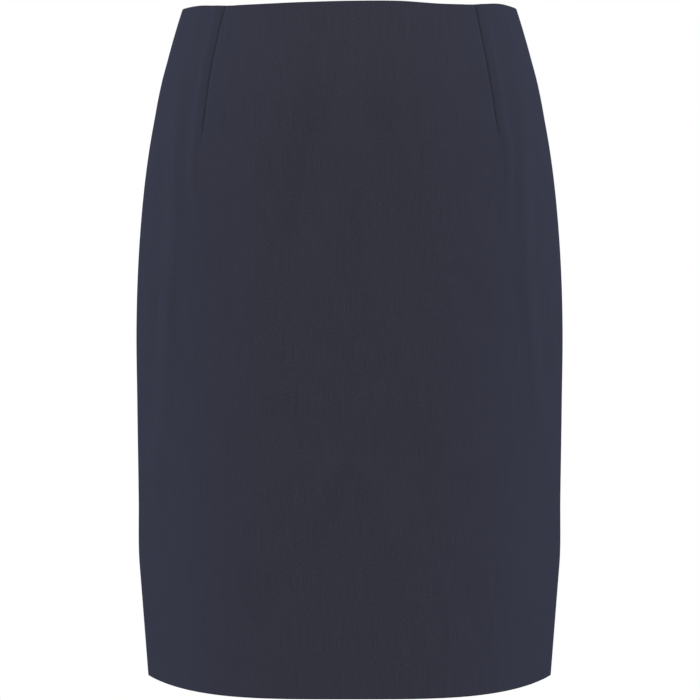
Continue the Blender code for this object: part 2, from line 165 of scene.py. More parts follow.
# Soft creases of each panel, ridges where rise is above 0 and troughs below it, from one end to the
# other: x is the distance towards the wearer's left. The first two of each panel are in the solids too
CREASE = "top_x top_below foot_x foot_below spread rise"
CREASES = {
    "front": table(
        CREASE,
        (-121, 96, -137, 176, 9, 1.0),
        (125, 96, 138, 182, 9, 1.0),
        (0, 46, -2, 236, 20, 2.2),
        (-18, 56, -56, 286, 16, -4.2),
        (16, 58, 53, 284, 16, -3.6),
        (-8, 366, -42, 474, 10, 2.0),
        (10, 368, 44, 478, 11, 2.0),
        (0, 376, 1, 452, 9, -1.5),
        (-56, 320, -63, 412, 14, -1.3),
        (53, 330, 63, 486, 13, -1.3),
        (-60, 462, -74, 556, 11, -1.4),
        (82, 440, 112, 560, 12, -1.5),
        (92, 212, 100, 262, 12, -1.2),
        (96, 382, 101, 436, 12, -1.1),
        (-84, 200, -80, 300, 8, 1.0),
        (104, 262, 96, 372, 13, 1.1),
        (8, 516, 14, 572, 9, -1.0),
        (-90, 536, -93, 572, 9, -0.9),
        (-142, 16, -152, 330, 6, 2.0),
        (-154, 24, -165, 326, 6, -1.9),
        (-151, 196, -158, 420, 6, 2.0),
        (-164, 204, -172, 424, 6, -1.8),
        (-158, 310, -173, 488, 6, 1.5),
        (142, 18, 151, 344, 6, 2.0),
        (154, 26, 163, 338, 6, -1.8),
        (150, 208, 159, 404, 6, 1.8),
        (163, 214, 173, 410, 6, -1.6),
        (162, 300, 176, 470, 6, 1.3),
    ),
    "back": table(
        CREASE,
        (-90, 116, -98, 190, 11, 0.9),
        (90, 116, 100, 200, 11, 1.0),
        (-40, 222, -64, 352, 13, -1.6),
        (34, 232, 60, 378, 12, -1.5),
        (-3, 214, 2, 338, 18, 1.4),
        (98, 244, 120, 398, 15, 1.4),
        (-104, 256, -118, 386, 13, 1.3),
        (-22, 348, -60, 478, 11, -1.3),
        (62, 402, 84, 540, 13, -1.4),
        (-92, 428, -108, 556, 12, -1.2),
        (118, 430, 132, 548, 11, 1.0),
        (-150, 66, -158, 256, 7, 1.3),
        (-163, 80, -168, 270, 6, -1.0),
        (151, 78, 160, 290, 7, 1.4),
        (158, 298, 172, 446, 7, 1.2),
        (-157, 280, -170, 416, 7, 1.1),
    ),
}

# ---- Finish of the cloth's edges ----
CLEAR = 0.1  # between panels at their seams
SEAM_ROUND = 0.45  # the cloth turns into a seam over this radius
FOLD_SHARE = 0.47  # a folded edge's radius, as a share of its thickness
STEP = 0.3  # the ramp at the edge of a layer inside
EDGE_STEPS = (1.6, 1.1, 0.75, 0.45, 0.22, 0.08, 0.0)  # columns and rows towards an edge
LINE_STEPS = (-2.0, -1.4, -0.9, -0.5, -0.22, 0.0, 0.22, 0.5, 0.9, 1.4, 2.0)  # columns at a dart's line
MITRE = 3.0  # the wall's direction turns level with the side seam over this width
MITRE_LIMIT = 0.2
EDGE_SHADE_WIDTH = 1.4  # painted shade: over this width the cloth's colour is darkened along its folded waist and hem edges

# ---- Colours, and the weaves' sizes in metres ----
SUITING_DARK = (0.0215, 0.0217, 0.0306)
SUITING_LIGHT = (0.0358, 0.0362, 0.0511)
SHEEN = (0.12, 0.4, 1.0)
WARP_PITCH = 0.00042
WEFT_PITCH = 0.00050
TWILL_REPEAT = 3  # threads
WEAVE_DEPTH = 0.00006
PLAIN_TONE = 0.15  # of the suiting, from its dark to its light
TAPE_DARK = (0.016, 0.016, 0.025)
TAPE_LIGHT = (0.036, 0.036, 0.056)
HERRINGBONE = 0.0016  # the width of each of its stripes
TAPE_TWILL = 0.0009
TAPE_THREAD = 0.0004
COIL_DARK = (0.020, 0.020, 0.031)
COIL_LIGHT = (0.033, 0.033, 0.050)
ENAMEL = (0.016, 0.017, 0.027)
ENAMEL_WORN = (0.22, 0.22, 0.23)
WEAR_FROM = 0.54  # pointiness where the enamel starts to wear
WEAR_FULL = 0.64
WORN_METALLIC = 0.7
PEEL_DEPTH = 0.00002
THREAD_DARK = (0.018, 0.018, 0.027)
THREAD_LIGHT = (0.036, 0.037, 0.054)
FLOOR_DARK = (0.84, 0.83, 0.81)
FLOOR_LIGHT = (0.88, 0.87, 0.85)

# ---- The look of a dart from outside ----
GROOVE_DEPTH = 0.85
GROOVE_WIDTH = 1.15
PADDED_RISE = 0.25  # the folded cloth under the dart's inner side pushes it out
PADDED_WIDTH = 8.0
RIDGE_RISE = 1.4  # the cloth rolls up beyond the line
RIDGE_AT = 8.2
RIDGE_WIDTH = 4.3
RIDGE_START = 3.0
RIDGE_FADE = 70.0  # it runs on this far below the tip
DART_RUN_ON = 0.02  # below the tip, its line moves outwards by this share of the depth

# ---- A crease comes and goes over these shares of its length, and over this width at a seam ----
CREASE_IN = 0.25
CREASE_OUT = 0.625
CREASE_TO_SEAM = 10.0

SECTION_STEP = 0.5
SECTION_TOP = -13.0
SECTION_FOOT = LENGTH + 2.0
TURN_SAMPLES = 721
SHARE_SAMPLES = 1025


def curve(rows, column, at):
    """A column's values on a smooth curve through the table's rows, at places in its first column."""
    places = np.array([row[0] for row in rows], float)
    values = np.array([getattr(row, column) for row in rows], float)
    slopes = np.gradient(values, places)
    at = np.clip(at, places[0], places[-1])
    k = np.clip(np.searchsorted(places, at, side="right") - 1, 0, len(places) - 2)
    step = places[k + 1] - places[k]
    t = (at - places[k]) / step
    start = (1 + 2 * t) * values[k] + t * step * slopes[k]
    end = (3 - 2 * t) * values[k + 1] + (t - 1) * step * slopes[k + 1]
    return (1 - t) ** 2 * start + t**2 * end


def unit(vectors):
    return vectors / np.linalg.norm(vectors, axis=-1, keepdims=True)


def mix(start, end, t):
    return start * (1 - t) + end * t


def bell(t):
    """1 in the middle, and level again from about 2 on either side."""
    return np.exp(-(t**2))


def ease(t):
    """0 to 1 with level ends."""
    t = np.clip(t, 0.0, 1.0)
    return t * t * (3 - 2 * t)


def within(value, limit, ramp):
    """1 up to a limit, then down to 0 over a ramp."""
    return np.clip((limit + ramp - value) / ramp, 0.0, 1.0)


# ---- Sections ----


class Sections:
    """The level sections of the front or back, as places at even shares of the way to the side."""

    def __init__(self, panel):
        self.depths = np.arange(SECTION_TOP, SECTION_FOOT, SECTION_STEP)
        half = curve(WIDTHS, "half", self.depths)[:, None]
        columns = ("side", panel, panel + "_flat", panel + "_round")
        side, middle, flat, rounded = (curve(DEPTHS, name, self.depths)[:, None] for name in columns)
        turn = np.linspace(0, math.pi / 2, TURN_SAMPLES)
        x = half * np.sin(turn) ** (2 / flat)
        y = side + (middle - side) * np.cos(turn).clip(0) ** (2 / rounded)
        steps = np.hypot(np.diff(x), np.diff(y))
        along = np.hstack([np.zeros_like(half), np.cumsum(steps, 1)])
        shares = np.linspace(0, 1, SHARE_SAMPLES)
        self.lengths = along[:, -1]
        at = shares * self.lengths[:, None]
        self.places = np.array([[np.interp(*row) for row in zip(at, along, axis)] for axis in (x, y)])

    def length(self, below):
        return np.interp(below, self.depths, self.lengths)

    def row_above(self, below):
        """The section above each depth, and the depth's share of the way to the next."""
        row = (below - SECTION_TOP) / SECTION_STEP
        i = np.clip(row.astype(int), 0, len(self.depths) - 2)
        return i, row - i

    def at(self, share, below):
        """x and y at a share of the way to the side, mirrored past the middle."""
        i, f = self.row_above(below)
        column = np.abs(share) * (SHARE_SAMPLES - 1)
        j = np.clip(column.astype(int), 0, SHARE_SAMPLES - 2)
        g = column - j
        upper = mix(self.places[:, i, j], self.places[:, i, j + 1], g)
        lower = mix(self.places[:, i + 1, j], self.places[:, i + 1, j + 1], g)
        x, y = mix(upper, lower, f)
        return np.where(share < 0, -x, x), y

    def along_at(self, below, across):
        """The length along each section to a distance from the centre plane."""
        i, f = self.row_above(below)
        x = mix(self.places[0, i], self.places[0, i + 1], f[:, None])
        shares = np.linspace(0, 1, SHARE_SAMPLES)
        return np.array([np.interp(a, b, shares) for a, b in zip(across, x)]) * self.length(below)


@lru_cache(maxsize=None)
def sections(panel):
    return Sections(panel)


def quarter(panel, below):
    """The section's length from the middle to the side seam."""
    return sections(panel).length(below)


def rise(panel, side, share):
    """How far the waist edge lies above the origin. side may differ from point to point."""
    if panel == "front":
        return np.where(side > 0, curve(WAIST_EDGE, "left", share), curve(WAIST_EDGE, "right", share))
    end = np.where(side > 0, WAIST_EDGE[-1].left, WAIST_EDGE[-1].right)
    return BACK_DIP + (end - BACK_DIP) * share**BACK_RISE_POWER


def place(panel, side, along, below):
    """Points of a panel's plain outer face, and level outward directions there, as arrays with a last
    axis of 3. A negative length is past the centre plane."""
    part = sections(panel)
    share = along / part.length(below)
    height = rise(panel, np.where(along < 0, -side, side), np.abs(share))
    height = height * np.maximum(1 - below / RISE_FADE, 0) ** 2 - below
    x, y = part.at(share, -height)
    reach = 1.0 / part.length(-height)
    ahead_x, ahead_y = part.at(np.minimum(share + reach, 1), -height)
    back_x, back_y = part.at(share - reach, -height)
    dx, dy = ahead_x - back_x, ahead_y - back_y
    size = np.hypot(dx, dy)
    facing = -1 if panel == "front" else 1
    point = np.stack([side * x, y, height], -1)
    outward = np.stack([side * -facing * dy / size, facing * dx / size, np.zeros_like(x)], -1)
    return point, outward


# ---- Darts, creases and the layers inside ----


def dart_of(panel, side):
    return next(d for d in DARTS if (d.panel, d.side) == (panel, side))


@lru_cache(maxsize=None)
def dart_table(panel, side):
    """The dart line's length along each section. Below the tip it runs on towards the hem."""
    dart = dart_of(panel, side)
    depths = sections(panel).depths
    t = np.clip(depths / dart.length, 0, 1)
    across = dart.waist + (dart.tip - dart.waist) * t + 4 * dart.bow * t * (1 - t)
    across += DART_RUN_ON * np.maximum(depths - dart.length, 0)
    return sections(panel).along_at(depths, across)


def dart_along(panel, side, below):
    return np.interp(below, sections(panel).depths, dart_table(panel, side))


def fold_width(dart, below):
    return np.maximum(dart.fold * (1 - below / dart.length), LEAST_FOLD)


def dart_strength(dart, below):
    return ease((dart.length - below) / DART_FADE)


def dart_relief(panel, side, along, below):
    """What the dart does to the outer face: its line, the padded side and the roll beyond it."""
    dart = dart_of(panel, side)
    off = along - dart_along(panel, side, below)
    line = GROOVE_DEPTH * bell(off / GROOVE_WIDTH)
    padded = PADDED_RISE * np.where(off < 0, bell(off / PADDED_WIDTH), 0)
    roll = RIDGE_RISE * bell((off - RIDGE_AT) / RIDGE_WIDTH) * ease(off / RIDGE_START)
    run_on = ease((dart.length + RIDGE_FADE - below) / RIDGE_FADE)
    return (padded - line) * dart_strength(dart, below) + roll * run_on


def creases(panel, x, below, from_seam):
    """How far the soft creases move the whole wall outwards. They die out at the seams."""
    total = np.zeros_like(from_seam)
    for crease in CREASES[panel]:
        top = np.array((crease.top_x, crease.top_below), float)
        run = np.array((crease.foot_x, crease.foot_below), float) - top
        from_top = np.stack([x, below], -1) - top
        t = from_top @ run / (run @ run)
        across = bell(np.linalg.norm(from_top - run * t[..., None], axis=-1) / crease.spread)
        total += crease.rise * across * ease(t / CREASE_IN) * ease((1 - t) / CREASE_OUT)
    return total * ease(from_seam / CREASE_TO_SEAM)


def thickness(panel, side, along, below):
    """The wall with what is turned in, pressed open or folded inside it."""
    edge = quarter(panel, below)
    layers = [
        HEM_LAYER * within(LENGTH - below, HEM_DEPTH, STEP),
        ALLOWANCE_LAYER * within(below, WAIST_TURN, STEP),
        ALLOWANCE_LAYER * within(edge - along, ALLOWANCE, STEP),
    ]
    if panel == "back":
        pressed = ALLOWANCE_LAYER * within(along, ALLOWANCE, STEP)
        faced = FACING_LAYER * within(along, FACING, STEP) if side > 0 else 0.0
        layers.append(np.where(below <= VENT_TOP, pressed, faced))
    thick = WALL + np.maximum.reduce(np.broadcast_arrays(*layers))
    dart = dart_of(panel, side)
    line = dart_along(panel, side, below)
    folded = within(line - along, fold_width(dart, below), STEP) * (along <= line)
    thick = thick + DART_LAYER * folded * dart_strength(dart, below)
    if panel == "back" and side < 0:
        thick = np.where(along < 0, WALL + HEM_LAYER * within(LENGTH - below, HEM_DEPTH, STEP), thick)
    return thick


def sink(along, below):
    """How far the right back lies inside the left at the vent."""
    deep = WALL + FACING_LAYER + LAP_GAP
    return deep * ease(1 - along / LAP_SLOPE) * ease((below - VENT_TOP) / (VENT_FULL - VENT_TOP))


def turned(from_edge, radius):
    """How far a round edge draws the face in, at a distance from the edge."""
    t = np.clip(1 - from_edge / radius, 0, 1)
    return radius * (1 - np.sqrt(1 - t * t))


def edge_turns(panel, side, along, below, thick):
    """How far the outer and inner faces are drawn in at the panel's edges."""
    fold = FOLD_SHARE * thick
    seam = np.minimum(SEAM_ROUND, fold)
    draws = [
        turned(below, fold),
        turned(LENGTH - below, fold),
        turned(quarter(panel, below) - CLEAR / 2 - along, seam),
    ]
    if panel == "back":
        folded = turned(along - parted_edge(NECK_GAP, below), fold)
        if side < 0:
            draws.append(np.where(below < VENT_TOP, folded, 0))
            draws.append(np.where(below >= VENT_FULL, turned(along + UNDERLAP, fold), 0))
        else:
            draws.append(folded)
    return np.maximum.reduce(np.broadcast_arrays(*draws))


def parted_edge(gap, below):
    """Half the gap between two edges that the slider holds apart above its foot."""
    return (CLEAR + (gap - CLEAR) * ease(within(below, NECK_FOOT, NECK_RAMP))) / 2


def wall(panel, side, along, below):
    """The outer and inner points of a panel and its inward direction, in millimetres."""
    along, below = np.broadcast_arrays(along, below)
    point, outward = place(panel, side, along, below)
    thick = thickness(panel, side, along, below)
    from_seam = quarter(panel, below) - along
    moved = creases(panel, point[..., 0], below, from_seam)
    if panel == "back" and side < 0:
        moved = moved - sink(along, below)
    face = point + outward * moved[..., None]
    level = np.stack([-side / np.abs(outward[..., 0]).clip(MITRE_LIMIT), *np.zeros((2, *along.shape))], -1)
    inward = mix(-outward, level, ease(1 - from_seam / MITRE)[..., None])
    drawn = edge_turns(panel, side, along, below, thick)
    relief = dart_relief(panel, side, along, below)
    outer = face + inward * (drawn - relief)[..., None]
    inner = face + inward * (thick - drawn)[..., None]
    return outer, inner, inward


# ---- Rows and columns of the cloth's mesh ----

WAIST_ROWS = 4
BODY_ROWS = 118
VENT_ROWS = 6
LOWER_ROWS = 40
HEM_ROWS = 11
FRONT_COLUMNS = 34
BACK_COLUMNS = 15
LAYER_COLUMNS = 5
FOLD_COLUMNS = 4
ROLL_COLUMNS = 12
ROLL_SPAN = 20.0
SIDE_COLUMNS = 26
ALLOWANCE_COLUMNS = 6
UNDERLAP_COLUMNS = 16
SLACK = 1e-6


def lay_out(start, *stretches):
    """Values in each row from the start through each stretch's end, in so many even steps."""
    parts = [start[:, None]]
    for end, steps in stretches:
        end = np.broadcast_to(end, start.shape)
        parts.append(mix(start[:, None], end[:, None], np.arange(1, steps + 1) / steps))
        start = end
    return np.hstack(parts)


def from_edge(edge):
    return [(edge + step, 1) for step in EDGE_STEPS[-2::-1]]


def up_to_edge(edge, steps):
    """Even steps, then close ones at the edge."""
    return [(edge - EDGE_STEPS[0], steps)] + [(edge - step, 1) for step in EDGE_STEPS[1:]]


def row_depths():
    """Close rows at the waist edge, the vent's head, the layers' ends and the hem."""
    stretches = from_edge(0.0) + [(WAIST_TURN, WAIST_ROWS), (WAIST_TURN + STEP, 1)]
    stretches += [(VENT_TOP - STEP, BODY_ROWS), (VENT_TOP, 1), (VENT_FULL, VENT_ROWS)]
    stretches += [(HEM_EDGE - STEP, LOWER_ROWS), (HEM_EDGE, 1), *up_to_edge(LENGTH, HEM_ROWS)]
    return lay_out(np.zeros(1), *stretches)[0]


def to_seam(panel, side, below, columns):
    """Columns up to the dart's fold, over its line and the roll beyond it, and on to the side seam."""
    line = dart_along(panel, side, below)
    fold = line - fold_width(dart_of(panel, side), below)
    end = quarter(panel, below) - CLEAR / 2
    stretches = [(fold - STEP, columns), (fold, 1), (line + LINE_STEPS[0], FOLD_COLUMNS)]
    stretches += [(line + step, 1) for step in LINE_STEPS[1:]]
    stretches += [(line + ROLL_SPAN, ROLL_COLUMNS), (end - ALLOWANCE - STEP, SIDE_COLUMNS)]
    return [*stretches, (end - ALLOWANCE, 1), *up_to_edge(end, ALLOWANCE_COLUMNS)]


def front_columns(side, below):
    return lay_out(np.zeros_like(below), *to_seam("front", side, below, FRONT_COLUMNS))


def back_columns(side, below):
    start = parted_edge(NECK_GAP, below)
    stretches = from_edge(start)
    for layer in (ALLOWANCE, FACING):
        stretches += [(layer, LAYER_COLUMNS), (layer + STEP, 1)]
    return lay_out(start, *stretches, *to_seam("back", side, below, BACK_COLUMNS))


def underlap_columns(below):
    start = np.full_like(below, -UNDERLAP)
    return lay_out(start, *from_edge(start), (0.0, UNDERLAP_COLUMNS))[:, :-1]


def lapped_columns(side, below):
    return np.hstack([underlap_columns(below), back_columns(side, below)])


# ---- Meshes ----


def add_object(name, data):
    thing = bpy.data.objects.new(name, data)
    bpy.context.scene.collection.objects.link(thing)
    return thing


def link(name, data, material, body="skirt"):
    """A piece from its mesh, riding on a body."""
    data.materials.append(material)
    thing = add_object(name, data)
    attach(thing, body)
    return thing


def mesh_of(name, points, faces, uv=None):
    """A smooth mesh from an array of points in millimetres and an array of faces with as many corners."""
    data = bpy.data.meshes.new(name)
    faces = np.asarray(faces, np.int32)
    count, corners = faces.shape
    data.vertices.add(len(points))
    data.vertices.foreach_set("co", (np.asarray(points) * MM).astype(np.float32).ravel())
    data.loops.add(count * corners)
    data.loops.foreach_set("vertex_index", faces.ravel())
    data.polygons.add(count)
    data.polygons.foreach_set("loop_start", np.arange(count, dtype=np.int32) * corners)
    data.polygons.foreach_set("use_smooth", np.ones(count, bool))
    if uv is not None:
        layer = data.uv_layers.new(name="cloth")
        layer.uv.foreach_set("vector", (np.asarray(uv) * MM).astype(np.float32).ravel())
    data.update(calc_edges=True)
    data.validate()
    return data


def shell(name, grids, keep=None):
    """A closed mesh between the first two grids, of points. The other two give each cell's flat place at
    its columns on either side, and keep marks the cells that hold cloth, where not all do."""
    outer, inner, left_uv, right_uv = grids
    rows, columns = outer.shape[:2]
    if keep is None:
        keep = np.ones((rows - 1, columns - 1), bool)
    size = rows * columns
    number = np.arange(size).reshape(rows, columns)
    i, j = np.nonzero(keep)
    ring = ((i, j), (i + 1, j), (i + 1, j + 1), (i, j + 1))
    beyond = ((0, -1), (1, 0), (0, 1), (-1, 0))
    corners = np.stack([number[at] for at in ring], 1)
    places = np.stack([left_uv[ring[0]], left_uv[ring[1]], right_uv[ring[2]], right_uv[ring[3]]], 1)
    held = np.pad(keep, 1)
    faces = [corners, corners[:, ::-1] + size]
    maps = [places, places[:, ::-1]]
    for k, (di, dj) in enumerate(beyond):
        edge = ~held[i + 1 + di, j + 1 + dj]
        n = (k + 1) % 4
        start, end = corners[edge, k], corners[edge, n]
        faces.append(np.stack([end, start, start + size, end + size], 1))
        maps.append(places[edge][:, [n, k, k, n]])
    faces = np.concatenate(faces)
    used, faces = np.unique(faces, return_inverse=True)
    points = np.concatenate([outer.reshape(-1, 3), inner.reshape(-1, 3)])[used]
    return mesh_of(name, points, faces.reshape(-1, 4), np.concatenate(maps).reshape(-1, 2))


def panel_half(panel, side, columns):
    """The grids and flat maps of one side of a panel, for the cells' left and right columns. The dart's
    intake widens the flat cut beyond its line."""
    below = row_depths()
    along = columns(side, below)
    depth = np.broadcast_to(below[:, None], along.shape)
    outer, inner, _ = wall(panel, side, along, depth)
    dart = dart_of(panel, side)
    line = dart_along(panel, side, below)[:, None]
    taken = dart.intake * np.clip(1 - depth / dart.length, 0, 1)
    maps = []
    for slack in (-SLACK, SLACK):
        flat = along + np.where(along > line + slack, taken, 0)
        maps.append(np.stack([side * flat, -depth], -1))
    return outer, inner, *maps


def cloth(name, grids, material, node, keep=None):
    """A panel of cloth in place of its solid."""
    made = link(name, shell(name, grids, keep), material)
    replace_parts(made, node)
    return made


def reverse(outer, inner, start_map, end_map):
    """A half's grids from its seam to the centre, where its two maps change places."""
    return [grid[:, ::-1] for grid in (outer, inner, end_map, start_map)]


def front_cloth(material):
    """Both halves in one, from the wearer's right to left, with one column at their middle."""
    right = [grid[:, :-1] for grid in reverse(*panel_half("front", -1, front_columns))]
    left = panel_half("front", 1, front_columns)
    grids = [np.concatenate(pair, 1) for pair in zip(right, left)]
    return cloth("front_cloth", grids, material, "front_panel")


def back_left_cloth(material):
    grids = reverse(*panel_half("back", 1, back_columns))
    return cloth("back_left_cloth", grids, material, "back_left")


def back_right_cloth(material):
    """The underlap's columns hold cloth below the vent's head alone."""
    grids = panel_half("back", -1, lapped_columns)
    keep = np.ones(np.subtract(grids[0].shape[:2], 1), bool)
    lapped = underlap_columns(np.zeros(1)).shape[1]
    keep[row_depths()[:-1] < VENT_FULL - SLACK, :lapped] = False
    return cloth("back_right_cloth", grids, material, "back_right", keep)


# ---- Zip, in its own frame: across the zip, down along it, and out from the cloth ----

TAPE_UNDER = WALL + ALLOWANCE_LAYER + SEAM_GAP  # the tape's outer face, under the panels'
COIL_PITCH = 1.25
COIL_REACH = 0.55  # each coil crosses the centre line by this much where it is closed
COIL_WIRE = 0.27
COIL_POINTS = 12  # around each turn
COIL_HEAD = TAPE_HEAD + 2.0
COIL_FOOT = 193.0
COIL_UP = (0.0, 0.31, 0.95)  # out and up at the centre back, never along the wire
TUBE_SIDES = 6
TAPE_ROWS = 99
TAPE_COLUMNS = (0, 0.12, 0.35, 0.8, 1.6, 2.4, 3.2, 4.4, 6, 8, 10, 11.6, 12.4, 12.75, 12.93, TAPE_WIDTH)
TAPE_CORDS = ((11.9, 0.1), (3.2, 0.08))  # across the tape, and how high each stands
CORD_WIDTH = 0.5
SELVEDGE_ROUND = 0.98  # of half the tape's thickness
STOP_WALL = 0.5
STOP_ROUND = 0.3
STOP_CORNER = 0.5
METAL = "zip_metal"
PLATE_SHARP = 40  # an edge is sharp past this turn in degrees
STRAND_SHARP = 80
CORNER_STEPS = 6
BEVEL_STEPS = 4
CAP_SHARE = 0.02  # a plate's end faces close on a ring of this share of its outline
SLIDER_BELOW = 11.0
SLIDER_LENGTH = 9.0
SLIDER_HEAD_WIDTH = 7.2
SLIDER_FOOT_WIDTH = 5.4
SLIDER_FROM = -5.4
SLIDER_TO = -2.5
SLIDER_ROUND = 0.45
SLIDER_NOTCH = 0.9  # how deep its head dips between the shoulders
NOTCH_SHARE = 0.8  # of half its head's width
NOTCH_POINTS = 5
SHOULDER_SHARE = 0.93
FOOT_SHARES = (0.9, 0.6, 0.3)
SLIDER_SIDE_POINTS = 13
BRIDGE_THICK = 1.5
BRIDGE_LENGTH = 6.8
BRIDGE_OUT = 3.1
BRIDGE_CORNER = 1.3
BRIDGE_ROOT = 0.8
BRIDGE_ROUND = 0.4
EYE_LENGTH = 4.4
EYE_FROM = 0.35
EYE_TO = 2.45
EYE_CORNER = 0.5
PULL_AXIS_DOWN = 1.2
PULL_AXIS_OUT = 1.35
PULL_LENGTH = 24.0
PULL_THICK = 1.0
PULL_HEAD_WIDTH = 5.6
PULL_FOOT_WIDTH = 6.8
PULL_CORNER = 1.2
PULL_CORNER_STEPS = 8
PULL_ROUND = 0.3
WINDOW_WIDTH = 3.0
WINDOW_LENGTH = 5.8
WINDOW_CORNER = 0.6

# Stops: depth, the side that they lie on (0 is both), width and length
ZIP_STOPS = table(
    "name below side width length",
    ("zip_stop_foot", COIL_FOOT, 0, 2 * COIL_WIDTH + 0.6, 2.6),
    ("zip_stop_left", TAPE_HEAD + 1.2, 1, COIL_WIDTH + 0.5, 1.8),
    ("zip_stop_right", TAPE_HEAD + 1.2, -1, COIL_WIDTH + 0.5, 1.8),
)


def zip_frame(below=SLIDER_BELOW):
    """A point of the cloth's outer face at the centre back, and the directions down, across and out."""
    (origin, lower), _ = place("back", 1, np.zeros(2), np.array((below, below + SLIDER_LENGTH)))
    across = np.array((1.0, 0.0, 0.0))
    down = unit(lower - origin)
    return origin, down, across, np.cross(across, down)


def on_zip(side, along, below, inside):
    """Points at a distance inside the back's plain outer face."""
    point, outward = place("back", side, along, below)
    return point - outward * np.asarray(inside)[..., None]


def tape_edge(below):
    """The distance of each tape's inner edge from the centre plane."""
    return parted_edge(TAPE_NECK_GAP, below)


def tape_mesh(name, side):
    """A tape with round selvedges and a corded edge beside its coil."""
    below = np.linspace(TAPE_HEAD, ZIP_FOOT, TAPE_ROWS)
    across = np.array(TAPE_COLUMNS)
    middle = TAPE_UNDER + TAPE_WALL / 2
    from_selvedge = np.minimum(across, TAPE_WIDTH - across) / (TAPE_WALL / 2)
    half = TAPE_WALL / 2 * np.sqrt(1 - np.clip(1 - from_selvedge, 0, SELVEDGE_ROUND) ** 2)
    cord = sum(high * bell((across - at) / CORD_WIDTH) for at, high in TAPE_CORDS)
    along = tape_edge(below)[:, None] + across
    depth = np.broadcast_to(below[:, None], along.shape)
    outer = on_zip(side, along, depth, middle - half)
    inner = on_zip(side, along, depth, middle + half + cord)
    flat = np.stack([side * np.broadcast_to(across, along.shape), -depth], -1)
    grids = (outer, inner, flat, flat)
    return shell(name, grids if side < 0 else reverse(*grids))


def capped(ring):
    """Quads that close a ring of an even number of points."""
    return [ring[[0, k, k + 1, k + 2]] for k in range(1, len(ring) - 2, 2)]


def tube(path, up, radius, sides=TUBE_SIDES):
    """Points and quads of a closed tube along a path. up, for each point or for all, is never along it."""
    tangent = unit(np.gradient(path, axis=0))
    first = unit(np.cross(tangent, np.broadcast_to(up, path.shape)))
    second = np.cross(first, tangent)
    turn = np.arange(sides) * math.tau / sides
    ring = first[:, None] * np.cos(turn)[:, None] + second[:, None] * np.sin(turn)[:, None]
    points = path[:, None] + ring * np.broadcast_to(radius, len(path))[:, None, None]
    number = np.arange(len(path) * sides).reshape(-1, sides)
    ahead = np.roll(number, -1, 1)
    walls = np.stack([number[:-1], number[1:], ahead[1:], ahead[:-1]], -1).reshape(-1, 4)
    return points.reshape(-1, 3), np.concatenate([walls, capped(number[0]), capped(number[-1, ::-1])])


def coil_path(side):
    """One coil: a wire wound flat beside the tape's edge, reaching into the other coil where it is shut."""
    turns = (COIL_FOOT - COIL_HEAD) / COIL_PITCH
    turn = np.arange(int(turns * COIL_POINTS)) / COIL_POINTS * math.tau
    below = COIL_HEAD + COIL_PITCH * turn / math.tau
    if side < 0:
        below = below + COIL_PITCH / 2
    edge = tape_edge(below)
    shut = 1 - ease(within(below, NECK_FOOT, NECK_RAMP))
    inner_end = edge + COIL_WIRE - (COIL_REACH + COIL_WIRE) * shut
    outer_end = edge + COIL_WIDTH
    along = (inner_end + outer_end) / 2 - (outer_end - inner_end) / 2 * np.cos(turn)
    high = COIL_LAYER / 2 - COIL_WIRE
    inside = TAPE_UNDER + TAPE_WALL + COIL_LAYER / 2 + high * np.sin(turn)
    return on_zip(side, along, below, inside)


def rounded_outline(low, high, corner, steps=CORNER_STEPS):
    """Points round a rectangle, whose corners are round, from its low corner."""
    (x0, y0), (x1, y1) = np.add(low, corner), np.subtract(high, corner)
    centres = np.array(((x0, y0), (x1, y0), (x1, y1), (x0, y1)))
    turn = math.pi + (np.arange(4)[:, None] + np.arange(steps + 1) / steps) * math.pi / 2
    ring = np.stack([np.cos(turn), np.sin(turn)], -1) * corner
    return (centres[:, None] + ring).reshape(-1, 2)


def inset(outline, distance):
    """An outline moved towards its inside, or outwards by a negative distance."""
    ahead = unit(np.roll(outline, -1, 0) - np.roll(outline, 1, 0))
    return outline + np.stack([-ahead[:, 1], ahead[:, 0]], 1) * distance


def bevel_steps(low, high, radius):
    """Levels through a plate with its edges rounded, and how far each is drawn in."""
    turn = np.linspace(0, math.pi / 2, BEVEL_STEPS + 1)
    draw = radius * (1 - np.sin(turn))
    level = radius * (1 - np.cos(turn))
    rising = [(low + a, b) for a, b in zip(level, draw)]
    return rising + [(high - a, b) for a, b in zip(level[::-1], draw[::-1])]


def plate(outline, low, high, radius, axes, window=None):
    """Points and faces of a plate with rounded edges and perhaps a window. axes are its origin and the
    directions of its outline's two measures and of its levels."""
    levels = bevel_steps(low, high, radius)
    loops = [(inset(outline, draw), level) for level, draw in levels]
    if window is not None:
        loops += [(inset(window, -draw), level) for level, draw in levels[::-1]]
    else:
        middle = outline.mean(0)
        small = middle + (outline - middle) * CAP_SHARE
        loops = [(small, low), *loops, (small, high)]
    origin, first, second, third = axes
    points = [origin + at[:, :1] * first + at[:, 1:] * second + level * third for at, level in loops]
    points = np.concatenate(points)
    number = np.arange(len(points)).reshape(len(loops), -1)
    if window is not None:
        after, caps = np.roll(number, -1, 0), []
    else:
        caps = [capped(number[0, ::-1]), capped(number[-1])]
        number, after = number[:-1], number[1:]
    ahead_number, ahead_after = np.roll(number, -1, 1), np.roll(after, -1, 1)
    walls = np.stack([number, ahead_number, ahead_after, after], -1).reshape(-1, 4)
    return points, np.concatenate([walls, *caps])


def solid(name, points, faces, material, slot, body="skirt", sharp=PLATE_SHARP):
    """A piece from a closed mesh, whose faces are turned round if it is inside out."""
    a, b, c, d = (points[faces[:, k]] for k in range(4))
    volume = (np.cross(b - a, c - a) * a).sum() + (np.cross(c - a, d - a) * a).sum()
    data = mesh_of(name, points, faces if volume > 0 else faces[:, ::-1])
    data.set_sharp_from_angle(angle=math.radians(sharp))
    return link(name, data, material, body)


